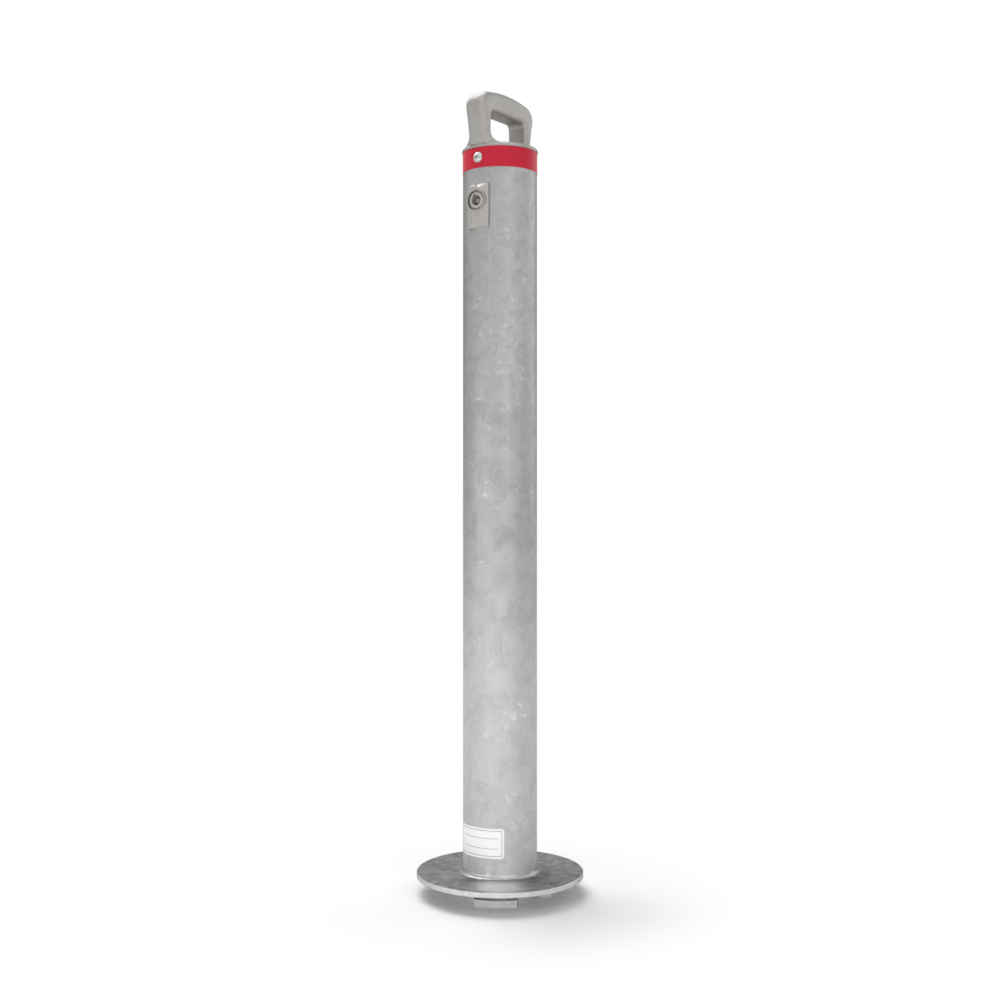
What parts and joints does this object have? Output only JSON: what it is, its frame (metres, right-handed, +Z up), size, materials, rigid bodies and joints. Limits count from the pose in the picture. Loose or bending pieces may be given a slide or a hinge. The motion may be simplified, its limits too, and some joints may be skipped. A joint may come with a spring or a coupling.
{
  "type": "removable bollard",
  "caption": "Removable round tube bollard with a lifting handle, a reflective band, a key lock that draws up a locking plunger, and a flanged bayonet foot.",
  "frame": {"origin": "on the tube's axis at the ground, in the plane of the bayonet lugs' undersides", "axes": "+Z up along the tube, -Y out of the front, where the lock is"},
  "size_m": [0.2, 0.2, 0.9559],
  "materials": {
    "galvanised_steel": "hot-dip galvanised, dull grey with soft pale clouds",
    "cast_aluminium": "fettled casting, satin",
    "red_tape": "reflective film, smooth",
    "white_label": "white film, semi-gloss",
    "zinc_screw": "bright zinc plated",
    "lock_casting": "satin nickel on a casting",
    "lock_barrel_steel": "dull dark steel",
    "bright_steel": "bright drawn steel, oiled",
    "spring_steel": "oiled spring wire",
    "guide_plastic": "black moulded plastic"
  },
  "bodies": {
    "post": {"bollard_tube": "galvanised_steel", "base_flange": "galvanised_steel", "foot_weld_bead": "galvanised_steel", "spigot_ring": "galvanised_steel", "bayonet_ring": "galvanised_steel", "handle_cap": "cast_aluminium", "reflective_band": "red_tape", "cap_screw_front": "zinc_screw", "cap_screw_rear": "zinc_screw", "foot_label": "white_label", "lock_escutcheon": "lock_casting", "escutcheon_screw": "zinc_screw", "lock_housing": "lock_casting", "saddle_washer": "zinc_screw", "lock_nut": "zinc_screw", "upper_guide": "guide_plastic", "lower_guide": "guide_plastic", "plunger_bush": "guide_plastic", "return_spring": "spring_steel"},
    "key": {"key_barrel": "lock_barrel_steel", "lock_cam": "bright_steel", "cam_screw": "zinc_screw"},
    "lift": {"lift_rod": "bright_steel", "follower_plate": "bright_steel", "follower_nuts": "zinc_screw", "spring_collar": "bright_steel", "collar_pin": "bright_steel", "locking_plunger": "bright_steel", "plunger_pin": "bright_steel"}
  },
  "joints": [
    {"name": "rod_lift", "type": "slide", "parent": "post", "child": "lift", "axis": [0, 0, 1], "range_m": [0, 0.012], "stiffness_N_per_m": 800, "springref_m": -0.02, "deforming": ["return_spring"]},
    {"name": "key_turn", "type": "hinge", "parent": "post", "child": "key", "pos_m": [0, -0.0357, 0.8234], "axis": [0, 1, 0], "range_deg": [0, 90]}
  ],
  "couplings": [
    {"joint": "key_turn", "follows": "rod_lift", "rad_per_m": 130.8}
  ]
}
